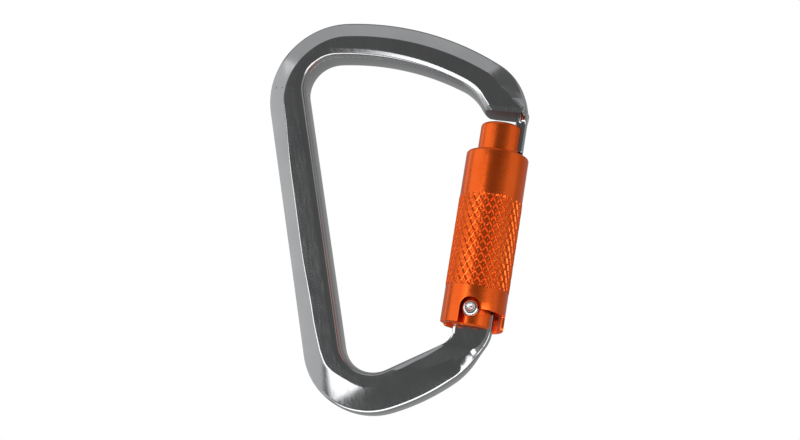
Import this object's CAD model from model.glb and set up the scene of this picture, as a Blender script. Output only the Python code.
import cmath
import math

import bmesh
import bpy
from mathutils import Matrix, Vector


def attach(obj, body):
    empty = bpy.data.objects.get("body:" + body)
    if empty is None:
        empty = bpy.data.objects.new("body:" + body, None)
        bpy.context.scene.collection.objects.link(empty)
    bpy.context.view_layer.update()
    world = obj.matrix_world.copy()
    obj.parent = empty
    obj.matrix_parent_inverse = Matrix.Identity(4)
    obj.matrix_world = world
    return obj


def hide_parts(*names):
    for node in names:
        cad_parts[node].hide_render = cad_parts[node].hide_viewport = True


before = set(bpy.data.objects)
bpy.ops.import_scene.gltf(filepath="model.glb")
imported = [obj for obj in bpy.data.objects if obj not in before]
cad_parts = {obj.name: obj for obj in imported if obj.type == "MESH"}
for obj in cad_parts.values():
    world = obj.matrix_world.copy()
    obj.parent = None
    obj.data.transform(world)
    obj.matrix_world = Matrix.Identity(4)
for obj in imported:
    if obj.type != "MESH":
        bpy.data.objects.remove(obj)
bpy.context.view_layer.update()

# Locking carabiner. Lengths here are millimetres and become metres in the meshes.
# +Z runs up the spine, +X from the spine to the gate, -Y is the front.
# Outlines of the bar lie in the XZ plane and are complex numbers, x + z * 1j.

MM = 0.001

# ---------------------------------------------------------------- where the gate lies

PIVOT = 28.6 - 81.3j
LEAN = math.radians(18.2)
ALONG = cmath.exp(1j * (math.pi / 2 - LEAN))       # from the hinge to the nose
OUTWARD = ALONG * -1j                              # away from the opening


def gate(out, rise):
    """The point at these gate coordinates."""
    return PIVOT + OUTWARD * out + ALONG * rise


def rise_of(point):
    """How far a point lies along the gate from the hinge."""
    return ((point - PIVOT) / ALONG).real


def gate_matrix():
    """Gate axes to row axes: x outwards, y through the thickness, z along the gate."""
    turn = Matrix.Rotation(LEAN, 4, "Y")
    return Matrix.Translation((PIVOT.real * MM, 0, PIVOT.imag * MM)) @ turn


# ---------------------------------------------------------------- outline pieces


def line(start, end):
    return lambda t: start + (end - start) * t


def arc(centre, radius, start, end):
    """Angles in degrees from +X towards +Z."""
    return lambda t: centre + radius * cmath.exp(1j * math.radians(start + (end - start) * t))


def bearing(start, end):
    """The angle of one point seen from another, in degrees from 0 to 360."""
    return math.degrees(cmath.phase(end - start)) % 360


def meet(first, reach, second, span, side):
    """The point at two distances from two centres, on one side of the line between them."""
    gap = abs(second - first)
    along = (reach ** 2 - span ** 2 + gap ** 2) / (2 * gap)
    across = math.sqrt(reach ** 2 - along ** 2)
    return first + (second - first) / gap * (along + 1j * side * across)


def smooth(value):
    value = min(max(value, 0.0), 1.0)
    return value * value * (3 - 2 * value)


# ---------------------------------------------------------------- the bar's two outlines

SPINE_OUT, SPINE_IN = -20.5, -9.0
CROWN, CROWN_R = 2.3 - 12.4j, 22.8
SHOULDER_R = 17.2
SHOULDER_RISE = (-24.7 + 81.3 - 10.3 * math.sin(LEAN)) / math.cos(LEAN)
SHOULDER = gate(6.9 - SHOULDER_R, SHOULDER_RISE)
RUN_R = 80.5
RUN = meet(CROWN, RUN_R - CROWN_R, SHOULDER, RUN_R - SHOULDER_R, -1)
BASE, BASE_R = -1.0 - 85.6j, 19.5
BOTTOM_R = 62.0
BOTTOM = -5.7 + 1j * (BASE.imag + math.sqrt((BOTTOM_R - BASE_R) ** 2 - 4.7 ** 2))
HINGE_R, HINGE_REACH, SLOPE = 24.0, 8.65, 44.5
SLOPE_WAY = cmath.exp(1j * math.radians(SLOPE))
SEAT, SEAT_R = -9j, 9.0
INNER_RUN_R = 75.0
INNER_SHOULDER, INNER_SHOULDER_R = 25.8 - 27.8j, 15.5
INNER_RUN = meet(SEAT, INNER_RUN_R - SEAT_R, INNER_SHOULDER, INNER_RUN_R - INNER_SHOULDER_R, -1)
LOW_SEAT = -84.5j
NOSE_RISE, TANG_OUT, TANG_IN = 57.5, 6.0, -5.1
BLEND_R = 10.0                # between the slope and the tang


def hinge_centre():
    """The centre of the outer arc at the hinge: tangent to the slope and inside the bottom arc."""
    start = PIVOT - SLOPE_WAY * -1j * (HINGE_R - HINGE_REACH)
    gap = start - BOTTOM
    along = (gap / SLOPE_WAY).real
    return start - SLOPE_WAY * (along + math.sqrt(along ** 2 - abs(gap) ** 2 + (BOTTOM_R - HINGE_R) ** 2))


def inner_slope():
    """The heading of the inner line from the low seat to the hinge, in degrees."""
    gap = PIVOT - LOW_SEAT
    return math.degrees(cmath.phase(gap) + math.asin((SEAT_R - 4.45) / abs(gap)))


HINGE = hinge_centre()
INNER_SLOPE = inner_slope()
FILLET_R = 4.0
SLOPE_NORMAL = cmath.exp(1j * math.radians(INNER_SLOPE - 90))
FILLET_RISE = (SEAT_R - FILLET_R - ((gate(TANG_IN - FILLET_R, 0) - LOW_SEAT) / SLOPE_NORMAL).real)
FILLET_RISE /= (ALONG / SLOPE_NORMAL).real
FILLET = gate(TANG_IN - FILLET_R, FILLET_RISE)
GATE_HEADING = 90 - math.degrees(LEAN)
TANG_TURN = math.radians(GATE_HEADING - SLOPE)
TANG_FOOT = (TANG_OUT * math.cos(TANG_TURN) - HINGE_REACH) / math.sin(TANG_TURN)
BLEND_LONG = BLEND_R * math.tan(TANG_TURN / 2)
BLEND = gate(TANG_OUT - BLEND_R, TANG_FOOT + BLEND_LONG)

# The tang's rounded end: a cam for the plunger, a flank and a small corner.
CAM, CAM_R, CAM_EDGE = gate(-2.9, 0), 5.6, 58.8
CORNER_R = 2.0
FLANK_TOP = gate(0, CAM_R * math.sin(math.radians(CAM_EDGE)))
CORNER_RISE = CAM_R * math.sin(math.radians(CAM_EDGE)) - math.tan(math.radians(90 - CAM_EDGE)) * TANG_OUT
CORNER_RISE -= CORNER_R * math.tan(math.radians(CAM_EDGE / 2))
CORNER = gate(TANG_OUT - CORNER_R, CORNER_RISE)
TURN = -math.degrees(LEAN)
CAM_TOP = TURN + 113.1


def spans():
    """The bar from the nose to the hinge: outer piece, inner piece, number of steps."""
    nose_out = TURN + math.degrees(math.asin((NOSE_RISE - SHOULDER_RISE) / SHOULDER_R))
    nose_in = math.degrees(math.asin((NOSE_RISE - rise_of(INNER_SHOULDER)) / INNER_SHOULDER_R)) + TURN
    at_shoulder, at_crown = bearing(RUN, SHOULDER), bearing(RUN, CROWN)
    in_shoulder, in_seat = bearing(INNER_RUN, INNER_SHOULDER), bearing(INNER_RUN, SEAT)
    at_base, at_hinge = bearing(BOTTOM, BASE), bearing(BOTTOM, HINGE)
    low_end = LOW_SEAT + SEAT_R * SLOPE_NORMAL
    fillet_start = FILLET + FILLET_R * SLOPE_NORMAL
    slope_start = HINGE + HINGE_R * SLOPE_WAY * -1j
    corner_end = CORNER + CORNER_R * cmath.exp(1j * math.radians(CAM_EDGE + TURN))
    return [
        (arc(SHOULDER, SHOULDER_R, nose_out, at_shoulder),
         arc(INNER_SHOULDER, INNER_SHOULDER_R, nose_in, in_shoulder), 90),
        (arc(RUN, RUN_R, at_shoulder, at_crown), arc(INNER_RUN, INNER_RUN_R, in_shoulder, in_seat), 80),
        (arc(CROWN, CROWN_R, at_crown, 180), arc(SEAT, SEAT_R, in_seat, 180), 72),
        (line(SPINE_OUT + CROWN.imag * 1j, SPINE_OUT + BASE.imag * 1j),
         line(SPINE_IN + SEAT.imag * 1j, SPINE_IN + LOW_SEAT.imag * 1j), 90),
        (arc(BASE, BASE_R, 180, at_base), arc(LOW_SEAT, SEAT_R, 180, INNER_SLOPE + 270), 80),
        (arc(BOTTOM, BOTTOM_R, at_base, at_hinge), line(low_end, fillet_start), 60),
        (arc(HINGE, HINGE_R, at_hinge, SLOPE + 270),
         arc(FILLET, FILLET_R, INNER_SLOPE - 90, GATE_HEADING - 90), 40),
        (line(slope_start, gate(TANG_OUT, TANG_FOOT) - SLOPE_WAY * BLEND_LONG),
         line(gate(TANG_IN, FILLET_RISE), gate(TANG_IN, -7.0)), 30),
        (arc(BLEND, BLEND_R, SLOPE - 90, TURN), line(gate(TANG_IN, -7.0), gate(TANG_IN, -3.5)), 24),
        (line(gate(TANG_OUT, TANG_FOOT + BLEND_LONG), CORNER + CORNER_R * OUTWARD),
         line(gate(TANG_IN, -3.5), gate(TANG_IN, 1.5)), 16),
        (arc(CORNER, CORNER_R, TURN, CAM_EDGE + TURN), line(gate(TANG_IN, 1.5), gate(TANG_IN, 5.15)), 10),
        (line(corner_end, FLANK_TOP), arc(CAM, CAM_R, CAM_TOP, CAM_TOP - 38), 12),
    ]


# ---------------------------------------------------------------- the bar's section

HALF = 5.5                    # half the bar's thickness
TONGUE_HALF = 1.7
BEVEL = 1.3                   # how far up the nose its bevel reaches
FLARE_RISE = 55.0             # where the tongue starts to spread into the nose
FLARE_LONG, FLARE_WIDE = 2.6, 3.8
RIM_HALF, TANG_HALF = 3.8, 2.75
RAMP_FOOT, RAMP_SLOPE = -10.5, 3.75 / 12.0
SHOULDER_TILT = 20            # degrees at which the inner rounding starts
# Along the bar, in spans: width of the outer facet, of the rounding at the opening, and how
# round the facet is.
SECTION = [
    (0.0, 0.9, 2.7, 0.1), (0.3, 4.0, 2.4, 0.1), (0.6, 5.6, 2.6, 0.1), (1.0, 5.3, 2.5, 0.12),
    (2.0, 5.1, 2.6, 0.12), (2.5, 5.4, 3.0, 0.15), (3.0, 5.2, 2.8, 0.3), (3.3, 4.3, 2.5, 0.4),
    (3.6, 4.2, 2.4, 0.4), (3.85, 4.8, 2.4, 0.4), (4.1, 5.8, 2.5, 0.3), (4.5, 7.5, 2.7, 0.15),
    (5.0, 7.2, 2.7, 0.12), (5.6, 6.8, 1.9, 0.12), (6.1, 5.4, 1.0, 0.1), (6.5, 3.4, 1.0, 0.1),
    (7.0, 2.5, 1.1, 0.1), (8.0, 1.3, 1.2, 0.15), (9.0, 1.1, 1.2, 0.15), (12.0, 1.1, 1.2, 0.15),
]


def section_at(place):
    """The facet's and the rounding's width, and the facet's crown, at a place along the bar."""
    for (low, *first), (high, *second) in zip(SECTION, SECTION[1:]):
        if place <= high:
            t = smooth((place - low) / (high - low))
            return [a + (b - a) * t for a, b in zip(first, second)]
    return SECTION[-1][1:]


def half_section(depth, facet, grip, crown, rim):
    """Half of the bar's section, from the rim to the inner band: (distance in, height)."""
    points = []
    for step in range(6):
        t = step / 5
        points.append((0.22 * t ** 3, (rim - 0.35) * t))
    points.append((0.34, rim - 0.14))
    start = 0.5
    for step in range(15):
        t = step / 14
        rise = t + crown * t * (1 - t)
        points.append((start + (facet - start) * t, rim + (HALF - rim) * rise))
    flat_end = depth - grip
    points.append((facet + 0.12, HALF))
    for step in range(1, 23):
        points.append((facet + 0.12 + (flat_end - facet - 0.12) * step / 22, HALF))
    low = 0.62 * rim + 1.0
    edge = min(0.38, grip / 3)
    knee, dip = 0.55 * grip, 0.16 * grip
    tilt = math.radians(SHOULDER_TILT)
    for step in range(1, 6):
        points.append((flat_end + knee * step / 5, HALF - dip * step / 5))
    for step in range(1, 13):
        turn = math.radians(SHOULDER_TILT + (90 - SHOULDER_TILT) * step / 12)
        share = (math.sin(turn) - math.sin(tilt)) / (1 - math.sin(tilt))
        fall = 1 - math.cos(turn) / math.cos(tilt)
        across = flat_end + knee + (grip - edge - knee) * share
        points.append((across, HALF - dip - (HALF - dip - low) * fall))
    for step in range(1, 9):
        t = step / 8
        points.append((depth - edge + edge * math.sin(t * math.pi / 2), low * math.cos(t * math.pi / 2)))
    return points


def thinned(rise):
    """The share of the bar's thickness left at a place near the hinge: the tang and its ramp."""
    height = TANG_HALF + (RAMP_FOOT - rise) * RAMP_SLOPE
    soft = 0.22
    for floor, way in ((TANG_HALF, 1), (HALF, -1)):
        gap = way * (height - floor)
        height = floor + way * (gap + math.sqrt(gap * gap + soft * soft)) / 2
    return height / HALF


def bar_mesh():
    """The swept bar as a bmesh, in millimetres."""
    mesh = bmesh.new()
    rings = []
    for index, (outer, inner, count) in enumerate(spans()):
        first = 0 if index == 0 else 1
        for step in range(first, count + 1):
            t = step / count
            out, inn = outer(t), inner(t)
            place = index + t
            facet, grip, crown = section_at(place)
            depth = abs(inn - out)
            room = max(depth - 0.2, 0.1)
            if facet + grip > room:
                facet, grip = facet * room / (facet + grip), grip * room / (facet + grip)
            rim = RIM_HALF - 0.6 * smooth(place - 6.5)
            half = half_section(depth, facet, grip, crown, rim)
            loop = half[1:-1]
            profile = half + [(d, -y) for d, y in reversed(loop)]
            way = (inn - out) / depth
            ring = []
            for d, y in profile:
                spot = out + way * d
                if place > 5:
                    y *= thinned(rise_of(spot))
                if place < 1:
                    y, spot = nose_edge(spot, y, d, depth)
                ring.append(mesh.verts.new((spot.real, y, spot.imag)))
            rings.append(ring)
    for ring, after in zip(rings, rings[1:]):
        for i in range(len(ring)):
            j = (i + 1) % len(ring)
            mesh.faces.new((ring[i], ring[j], after[j], after[i]))
    mesh.faces.new(rings[0][::-1])
    mesh.faces.new(rings[-1])
    bmesh.ops.recalc_face_normals(mesh, faces=mesh.faces)
    return mesh


def nose_edge(spot, y, d, depth):
    """Bevels the nose's lower edges and draws its outer side in towards the tongue."""
    rise = rise_of(spot)
    near = 1 - min(max((rise - NOSE_RISE) / BEVEL, 0.0), 1.0)
    y *= 1 - 0.11 * near
    out = ((spot - PIVOT) / OUTWARD).real
    limit = swoop(rise, out)
    if abs(y) > limit:
        y = math.copysign(limit, y)
    inside = smooth((d - depth / 2) / (depth / 2))
    spot += OUTWARD * 0.45 * near * near * inside
    return y, spot


def swoop(rise, out):
    """Half the thickness that the nose's outer side keeps on its way down to the tongue."""
    high, edge = 61.5, 5.2
    t = min(max((rise - FLARE_RISE) / (high - FLARE_RISE), 0.0), 1.0)
    outer = TONGUE_HALF + (4.9 - TONGUE_HALF) * t ** 1.6
    share = min(max((out - edge) / (6.9 - edge), 0.0), 1.0)
    return outer + (HALF - outer) * math.sqrt(1 - share * share)


def flare(rise):
    """How much the tongue's outer side spreads on its way up into the nose."""
    share = min(max((rise - FLARE_RISE) / FLARE_LONG, 0.0), 1.0)
    return FLARE_WIDE * (1 - math.sqrt(1 - share * share))


def tongue_mesh():
    """The thin tongue under the nose, whose outer side spreads up into the nose."""
    mesh = bmesh.new()
    inner, outer, tip, root, corner = 3.8, 6.88, 46.8, 58.9, 0.5
    rings = []
    levels = [tip, tip + 0.12, tip + 0.4] + [tip + 0.4 + (root - tip - 0.4) * i / 60 for i in range(1, 61)]
    for rise in levels:
        shrink = 0.4 - math.sqrt(max(0.16 - max(0.4 - (rise - tip), 0) ** 2, 0))
        half = TONGUE_HALF - shrink
        section = rounded((inner + corner, half - corner), corner, 180, 90, 4)
        section += [(inner + corner + (outer - inner - 2 * corner) * i / 12, half) for i in range(1, 12)]
        section += rounded((outer - corner, half - corner), corner, 90, 0, 5)
        ring = []
        for out, y in section:
            spread = min(flare(rise), swoop(rise, out) - TONGUE_HALF)
            ring.append((out, y + spread * smooth((out - 4.6) / 0.9) * (y / half)))
        ring += [(out, -y) for out, y in reversed(ring)]
        verts = []
        for out, y in ring:
            spot = gate(out, rise)
            verts.append(mesh.verts.new((spot.real, y, spot.imag)))
        rings.append(verts)
    for ring, after in zip(rings, rings[1:]):
        for i in range(len(ring)):
            j = (i + 1) % len(ring)
            mesh.faces.new((ring[i], ring[j], after[j], after[i]))
    mesh.faces.new(rings[0][::-1])
    mesh.faces.new(rings[-1])
    bmesh.ops.recalc_face_normals(mesh, faces=mesh.faces)
    return mesh


def to_object(mesh, name, sharp=35):
    """A Blender object in metres from a bmesh in millimetres."""
    bmesh.ops.scale(mesh, vec=(MM, MM, MM), verts=mesh.verts)
    data = bpy.data.meshes.new(name)
    mesh.to_mesh(data)
    mesh.free()
    item = bpy.data.objects.new(name, data)
    bpy.context.scene.collection.objects.link(item)
    data.shade_smooth()
    data.set_sharp_from_angle(angle=math.radians(sharp))
    return item


def apply_boolean(item, tool, operation):
    """Cuts or joins with another mesh, which is then removed."""
    step = item.modifiers.new("step", "BOOLEAN")
    step.operation = operation
    step.object = tool
    step.solver = "EXACT"
    settle(item)
    bpy.data.objects.remove(tool)


def settle(item):
    """Applies an object's modifiers to its mesh."""
    bpy.context.view_layer.update()
    graph = bpy.context.evaluated_depsgraph_get()
    data = bpy.data.meshes.new_from_object(item.evaluated_get(graph))
    old = item.data
    item.modifiers.clear()
    item.data = data
    data.name = old.name
    bpy.data.meshes.remove(old)
    data.shade_smooth()
    data.set_sharp_from_angle(angle=math.radians(35))


def hinge_bore():
    mesh = bmesh.new()
    bmesh.ops.create_cone(mesh, cap_ends=True, segments=64, radius1=2.05, radius2=2.05, depth=14)
    turn = Matrix.Translation((PIVOT.real, 0, PIVOT.imag)) @ Matrix.Rotation(math.pi / 2, 4, "X")
    bmesh.ops.transform(mesh, matrix=turn, verts=mesh.verts)
    return mesh


def make_bar():
    bar = to_object(bar_mesh(), "bar")
    apply_boolean(bar, to_object(tongue_mesh(), "tongue_tool"), "UNION")
    apply_boolean(bar, to_object(hinge_bore(), "bore_tool"), "DIFFERENCE")
    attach(bar, "frame")
    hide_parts("frame")
    return bar


# ---------------------------------------------------------------- turned pieces

SLEEVE_R, SLEEVE_FOOT, SLEEVE_RIM, SLEEVE_BORE = 8.9, -4.6, 45.6, 7.6
SKIRT_BORE, LIP_BORE, LIP_FOOT, LIP_TOP = 8.0, 6.05, 3.6, 6.0
KNURL_R, KNURL_FOOT, KNURL_TOP, KNURL_STARTS, KNURL_LONG = 9.0, 6.1, 32.4, 28, 3.5
KNURL_DEEP = 0.26
NOTCH, SHELF, RELIEF = 2.85, -0.1, -3.9


def lathe(profile, segments):
    """A solid turned about +Z from a closed profile of (radius, height); radius 0 closes on the axis."""
    mesh = bmesh.new()
    rings = []
    for radius, height in profile:
        if radius == 0:
            rings.append([mesh.verts.new((0, 0, height))])
            continue
        ring = []
        for i in range(segments):
            angle = 2 * math.pi * i / segments
            ring.append(mesh.verts.new((radius * math.cos(angle), radius * math.sin(angle), height)))
        rings.append(ring)
    pairs = list(zip(rings, rings[1:]))
    if profile[0][0] and profile[-1][0]:
        pairs.append((rings[-1], rings[0]))
    for ring, after in pairs:
        for i in range(segments):
            j = (i + 1) % segments
            if len(ring) == 1:
                mesh.faces.new((ring[0], after[i], after[j]))
            elif len(after) == 1:
                mesh.faces.new((ring[i], after[0], ring[j]))
            else:
                mesh.faces.new((ring[i], after[i], after[j], ring[j]))
    bmesh.ops.recalc_face_normals(mesh, faces=mesh.faces)
    return mesh


def rounded(centre, radius, start, end, steps):
    """Points along an arc, for a profile or an outline."""
    points = []
    for step in range(steps + 1):
        angle = math.radians(start + (end - start) * step / steps)
        points.append((centre[0] + radius * math.cos(angle), centre[1] + radius * math.sin(angle)))
    return points


def prism(outline, low, high, along_x):
    """A cutter from an outline of (across, height), drawn out along x or along y."""
    mesh = bmesh.new()
    ends = []
    for depth in (low, high):
        place = [(depth, a, h) if along_x else (a, depth, h) for a, h in outline]
        ends.append([mesh.verts.new(p) for p in place])
    count = len(outline)
    for i in range(count):
        j = (i + 1) % count
        mesh.faces.new((ends[0][i], ends[0][j], ends[1][j], ends[1][i]))
    mesh.faces.new(ends[0])
    mesh.faces.new(ends[1][::-1])
    bmesh.ops.recalc_face_normals(mesh, faces=mesh.faces)
    return mesh


def sleeve_profile():
    """The sleeve's wall, with rows close enough for the knurl."""
    rim, foot = 0.8, 0.65
    points = rounded((SLEEVE_R - foot, SLEEVE_FOOT + foot), foot, -90, 0, 7)
    points += [(SLEEVE_R, SLEEVE_FOOT + 2.2 + 2.3 * i) for i in range(4)]
    points.append((SLEEVE_R, KNURL_FOOT - 0.25))
    rows = round((KNURL_TOP - KNURL_FOOT) / KNURL_LONG * 20)
    points += [(SLEEVE_R, KNURL_FOOT + (KNURL_TOP - KNURL_FOOT) * i / rows) for i in range(rows + 1)]
    above = KNURL_TOP + 0.25
    points += [(SLEEVE_R, above + (SLEEVE_RIM - rim - above) * i / 6) for i in range(6)]
    points += rounded((SLEEVE_R - rim, SLEEVE_RIM - rim), rim, 0, 90, 8)
    points += rounded((SLEEVE_BORE + 0.2, SLEEVE_RIM - 0.2), 0.2, 90, 180, 3)
    points += [(SLEEVE_BORE, 26.0), (SLEEVE_BORE, LIP_TOP), (LIP_BORE, LIP_TOP), (LIP_BORE, LIP_FOOT)]
    points += [(SKIRT_BORE, LIP_FOOT), (SKIRT_BORE, 0.0)]
    points += rounded((SKIRT_BORE + 0.15, SLEEVE_FOOT + 0.15), 0.15, 180, 270, 2)
    return points


def notch_outline(has_shelf):
    """The notch seen from the front, x across and z up, with or without the shelf at +x."""
    low, corner = -9.0, 0.45
    points = [(-NOTCH, low), (-NOTCH, -0.5)]
    if not has_shelf:
        return points + rounded((0, 0), NOTCH, 180, 0, 32) + [(NOTCH, -0.5), (NOTCH, low)]
    rise = SHELF + corner
    tilt = math.degrees(math.asin(rise / (NOTCH + corner)))
    points += rounded((0, 0), NOTCH, 180, tilt, 32)
    points += rounded(((NOTCH + corner) * math.cos(math.radians(tilt)), rise), corner, 180 + tilt, 270, 6)
    return points + [(12, SHELF), (12, low)]


def shelf_outline():
    """The shelf seen from the gate side, y across; the skirt behind it has a rounded corner."""
    low, corner = -9.0, 1.6
    points = [(-12, low), (-12, SHELF)]
    points += rounded((-0.5, SHELF - 0.5), 0.5, 90, 0, 5)
    points += rounded((corner, SLEEVE_FOOT + corner), corner, 180, 270, 8)
    points.append((corner, low))
    return points


def relief_outline():
    """The tang's way out at the inner side, low and with rounded corners."""
    low, corner = -9.0, 0.35
    points = [(NOTCH, low), (NOTCH + corner, low), (NOTCH + corner, SLEEVE_FOOT)]
    points += rounded((NOTCH - corner, RELIEF - corner), corner, 0, 90, 4)
    points += [(-y, z) for y, z in reversed(points[2:])]
    return points + [(-NOTCH - corner, low)]


def knurl_height(angle, height):
    """How far the knurled surface lies from the axis: thin crests in a net, hollows between."""
    across = angle / (2 * math.pi) * KNURL_STARTS
    along = height / KNURL_LONG
    near = [abs(turn - round(turn)) for turn in (across + along, across - along)]
    fall = smooth((min(near) - 0.02) / 0.13)
    centre = smooth((sum(near) - 0.80) / 0.2)
    return KNURL_R - KNURL_DEEP * fall + 0.07 * centre


def make_sleeve():
    """The locking sleeve: a rivet notch on each side, a shelf at the front and real knurling."""
    sleeve = to_object(lathe(sleeve_profile(), KNURL_STARTS * 18), "sleeve")
    cutters = [prism(notch_outline(True), -12, -3, False), prism(notch_outline(False), 3, 12, False),
               prism(shelf_outline(), 4, 12, True), prism(relief_outline(), -12, -4, True)]
    for cutter in cutters:
        apply_boolean(sleeve, to_object(cutter, "cut"), "DIFFERENCE")
    edge = sleeve.modifiers.new("edge", "BEVEL")
    edge.width = 0.22 * MM
    edge.segments = 3
    edge.limit_method = "ANGLE"
    edge.angle_limit = math.radians(50)
    edge.harden_normals = False
    settle(sleeve)
    for vertex in sleeve.data.vertices:
        x, y, z = (c / MM for c in vertex.co)
        if KNURL_FOOT <= z <= KNURL_TOP and math.hypot(x, y) > SLEEVE_R - 0.05:
            ends = min(z - KNURL_FOOT, KNURL_TOP - z)
            radius = knurl_height(math.atan2(y, x), z)
            radius = SLEEVE_R + (radius - SLEEVE_R) * smooth(ends / 0.5)
            factor = radius / math.hypot(x, y)
            vertex.co = Vector((x * factor * MM, y * factor * MM, z * MM))
    sleeve.data.transform(gate_matrix())
    sleeve.data.set_sharp_from_angle(angle=math.radians(28))
    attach(sleeve, "sleeve")
    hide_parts("locking_sleeve")
    return sleeve


def make_rivet():
    """The hinge rivet, with domed heads and a dimple in each."""
    head, seat, face, shaft, dimple = 2.35, 5.4, 7.7, 2.0, 1.15
    half = [(0, face - 0.42)] + rounded((0, face - 0.26), 0.18, -60, 0, 3)[1:]
    half += [(0.62, face - 0.44), (dimple - 0.16, face - 0.24), (dimple, face - 0.06)]
    half += rounded((dimple + 0.14, face - 0.14), 0.14, 150, 90, 3)
    half += rounded((head - 0.85, face - 0.85), 0.85, 80, 0, 9)
    half += [(head, seat), (shaft, seat)]
    profile = half + [(radius, -height) for radius, height in reversed(half)]
    mesh = lathe(profile, 72)
    turn = Matrix.Translation((PIVOT.real, 0, PIVOT.imag)) @ Matrix.Rotation(math.pi / 2, 4, "X")
    bmesh.ops.transform(mesh, matrix=turn, verts=mesh.verts)
    rivet = to_object(mesh, "rivet", 50)
    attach(rivet, "gate")
    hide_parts("hinge_rivet")
    return rivet


# ---------------------------------------------------------------- materials


class Nodes:
    """A small helper to write a material's nodes."""

    def __init__(self, name):
        self.material = bpy.data.materials.new(name)
        self.material.use_nodes = True
        self.tree = self.material.node_tree
        self.shader = self.tree.nodes["Principled BSDF"]

    def add(self, kind, **values):
        node = self.tree.nodes.new(kind)
        for key, value in values.items():
            if key in node.inputs.keys():
                node.inputs[key].default_value = value
            else:
                setattr(node, key, value)
        return node

    def link(self, start, out, end, into):
        self.tree.links.new(start.outputs[out], end.inputs[into])

    def noise(self, scale, detail=4.0, stretch=None):
        """Noise in the object's own metres, stretched by a factor along each axis."""
        place = self.add("ShaderNodeTexCoord")
        node = self.add("ShaderNodeTexNoise", Scale=scale, Detail=detail)
        if stretch is None:
            self.link(place, "Object", node, "Vector")
            return node
        mapping = self.add("ShaderNodeMapping", Scale=stretch)
        self.link(place, "Object", mapping, "Vector")
        self.link(mapping, "Vector", node, "Vector")
        return node

    def ranged(self, source, low, high):
        node = self.add("ShaderNodeMapRange")
        node.inputs["From Min"].default_value = 0.3
        node.inputs["From Max"].default_value = 0.7
        node.inputs["To Min"].default_value = low
        node.inputs["To Max"].default_value = high
        self.link(source, "Fac", node, "Value")
        return node

    def blend(self, source, first, second):
        node = self.add("ShaderNodeValToRGB")
        ramp = node.color_ramp
        ramp.elements[0].position = 0.3
        ramp.elements[1].position = 0.7
        ramp.elements[0].color = (*first, 1)
        ramp.elements[1].color = (*second, 1)
        self.link(source, "Fac", node, "Fac")
        return node


def metal(name, dark, light, rough, grain, bump, stretch=None):
    """A metal with a faint grain: colours, roughness range, grain scale and height in metres."""
    nodes = Nodes(name)
    nodes.shader.inputs["Metallic"].default_value = 1.0
    cloud = nodes.noise(90.0)
    tone = nodes.blend(cloud, dark, light)
    nodes.link(tone, "Color", nodes.shader, "Base Color")
    fine = nodes.noise(grain, 6.0, stretch)
    sheen = nodes.ranged(fine, *rough)
    nodes.link(sheen, "Result", nodes.shader, "Roughness")
    relief = nodes.add("ShaderNodeBump", Strength=1.0, Distance=bump)
    nodes.link(fine, "Fac", relief, "Height")
    nodes.link(relief, "Normal", nodes.shader, "Normal")
    return nodes.material


def mark_nose_face(bar):
    """Gives the nose's flat underside the bar's second material."""
    for face in bar.data.polygons:
        centre = face.center / MM
        point = complex(centre.x, centre.z)
        out = ((point - PIVOT) / OUTWARD).real
        if abs(rise_of(point) - NOSE_RISE) < 0.05 and out < 5.0:
            face.material_index = 1


def dress_all(bar, sleeve, rivet):
    frame_metal = metal("polished_grey_anodised", (0.37, 0.375, 0.385), (0.41, 0.415, 0.42),
                        (0.10, 0.17), 1400.0, 1.5e-6, (1, 1, 0.15))
    orange = metal("gloss_orange_anodised", (0.90, 0.125, 0.018), (0.95, 0.15, 0.024),
                   (0.25, 0.35), 1800.0, 2e-6, (1, 1, 4))
    steel = metal("bright_rivet_steel", (0.60, 0.61, 0.63), (0.70, 0.71, 0.73), (0.14, 0.26), 2200.0, 3e-6)
    spring = metal("drawn_spring_steel", (0.40, 0.41, 0.43), (0.52, 0.53, 0.55), (0.22, 0.34), 2600.0, 3e-6)
    plain = metal("turned_aluminium", (0.66, 0.67, 0.68), (0.74, 0.75, 0.76), (0.25, 0.36), 2400.0, 4e-6)
    finish = {"gate_barrel": orange, "locking_sleeve": orange, "hinge_rivet": steel, "gate_plunger": steel,
              "thrust_washer": steel, "collar_key": steel, "gate_spring": spring, "sleeve_spring": spring,
              "retaining_ring": spring, "spring_collar": plain, "frame": frame_metal}
    cut_face = metal("dull_cut_face", (0.15, 0.15, 0.155), (0.19, 0.19, 0.195), (0.42, 0.55), 1600.0, 3e-6)
    for name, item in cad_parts.items():
        item.data.materials.clear()
        item.data.materials.append(finish[name])
    for item, material in ((bar, frame_metal), (sleeve, orange), (rivet, steel)):
        item.data.materials.clear()
        item.data.materials.append(material)
    bar.data.materials.append(cut_face)
    mark_nose_face(bar)


# ---------------------------------------------------------------- stage, light and camera

AIM = Vector((0.0121, 0.0, -0.0511))


def direction(azimuth, elevation):
    """A unit vector; azimuth 0 is the front, 90 the gate side."""
    a, e = math.radians(azimuth), math.radians(elevation)
    return Vector((math.sin(a) * math.cos(e), -math.cos(a) * math.cos(e), math.sin(e)))


def softbox(name, azimuth, elevation, wide, high, radiance, distance=1.0):
    """An area light that faces the object, as wide and high as these angles seen from it."""
    lamp = bpy.data.lights.new(name, "AREA")
    lamp.shape = "RECTANGLE"
    lamp.size = 2 * distance * math.tan(math.radians(wide / 2))
    lamp.size_y = 2 * distance * math.tan(math.radians(high / 2))
    lamp.energy = radiance * math.pi * lamp.size * lamp.size_y
    item = bpy.data.objects.new(name, lamp)
    away = direction(azimuth, elevation)
    item.location = AIM + away * distance
    item.rotation_euler = away.to_track_quat("Z", "Y").to_euler()
    item.visible_camera = False
    bpy.context.scene.collection.objects.link(item)
    return item


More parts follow.
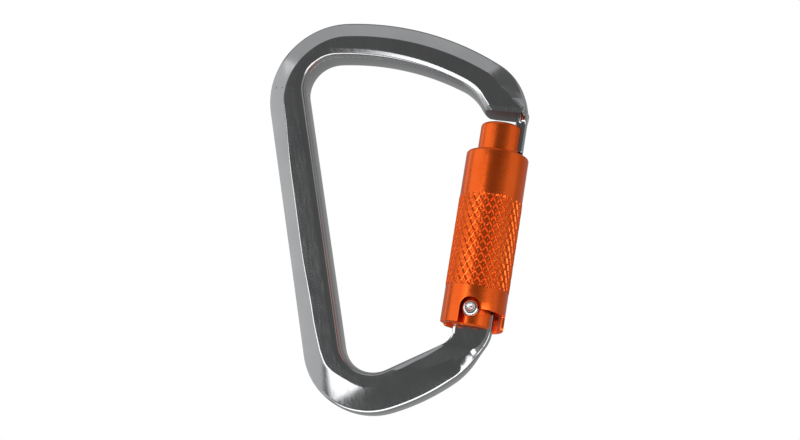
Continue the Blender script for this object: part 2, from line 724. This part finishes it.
def make_world():
    """Pale all round for the camera, and a dim studio in reflections, brighter behind."""
    world = bpy.data.worlds.new("studio")
    bpy.context.scene.world = world
    world.use_nodes = True
    tree = world.node_tree
    tree.nodes.clear()
    place = tree.nodes.new("ShaderNodeTexCoord")
    split = tree.nodes.new("ShaderNodeSeparateXYZ")
    ramp = tree.nodes.new("ShaderNodeMapRange")
    for key, value in (("From Min", -0.9), ("From Max", 0.6), ("To Min", 0.19), ("To Max", 0.5)):
        ramp.inputs[key].default_value = value
    dim = tree.nodes.new("ShaderNodeBackground")
    pale = tree.nodes.new("ShaderNodeBackground")
    pale.inputs["Color"].default_value = (1, 1, 1, 1)
    ray = tree.nodes.new("ShaderNodeLightPath")
    mix = tree.nodes.new("ShaderNodeMixShader")
    out = tree.nodes.new("ShaderNodeOutputWorld")
    tree.links.new(place.outputs["Generated"], split.inputs["Vector"])
    tree.links.new(split.outputs["Y"], ramp.inputs["Value"])
    tree.links.new(ramp.outputs["Result"], dim.inputs["Strength"])
    tree.links.new(ray.outputs["Is Camera Ray"], mix.inputs["Fac"])
    tree.links.new(dim.outputs["Background"], mix.inputs[1])
    tree.links.new(pale.outputs["Background"], mix.inputs[2])
    tree.links.new(mix.outputs["Shader"], out.inputs["Surface"])


def make_floor():
    """A pale round floor well below the hanging object."""
    mesh = bmesh.new()
    bmesh.ops.create_circle(mesh, cap_ends=True, segments=96, radius=0.42)
    data = bpy.data.meshes.new("floor")
    mesh.to_mesh(data)
    mesh.free()
    floor = bpy.data.objects.new("floor", data)
    floor.location = (AIM.x, 0, -0.36)
    bpy.context.scene.collection.objects.link(floor)
    nodes = Nodes("pale_floor")
    grain = nodes.noise(30.0)
    tone = nodes.blend(grain, (0.84, 0.84, 0.84), (0.88, 0.88, 0.88))
    nodes.link(tone, "Color", nodes.shader, "Base Color")
    nodes.shader.inputs["Roughness"].default_value = 0.7
    data.materials.append(nodes.material)


def make_camera():
    """A view from below, a little to the gate side, with the camera rolled."""
    back = direction(7.9, -15.2)
    right = Vector((0, 0, 1)).cross(back).normalized()
    up = back.cross(right)
    roll = math.radians(8.9)
    across = right * math.cos(roll) - up * math.sin(roll)
    upright = right * math.sin(roll) + up * math.cos(roll)
    lens = bpy.data.cameras.new("camera")
    lens.lens = 67.7
    lens.sensor_width = 36.0
    lens.clip_start = 0.01
    camera = bpy.data.objects.new("camera", lens)
    turn = Matrix((across, upright, back)).transposed().to_4x4()
    camera.matrix_world = Matrix.Translation(AIM + back * 0.430) @ turn
    bpy.context.scene.collection.objects.link(camera)
    bpy.context.scene.camera = camera


def make_studio():
    bpy.context.scene.view_settings.view_transform = "Standard"
    make_world()
    make_floor()
    softbox("key_box", -27, 3, 15, 36, 3.0)
    softbox("left_wall", -78, 10, 80, 80, 0.75)
    softbox("low_box", -5, -52, 80, 26, 3.0, distance=0.36)
    softbox("top_box", -10, 62, 60, 30, 0.5)
    softbox("right_wall", 76, 5, 40, 70, 0.34)
    softbox("hinge_box", 42, -24, 30, 26, 2.6)
    make_camera()


# ---------------------------------------------------------------- put together

bar = make_bar()
sleeve = make_sleeve()
rivet = make_rivet()
dress_all(bar, sleeve, rivet)
make_studio()
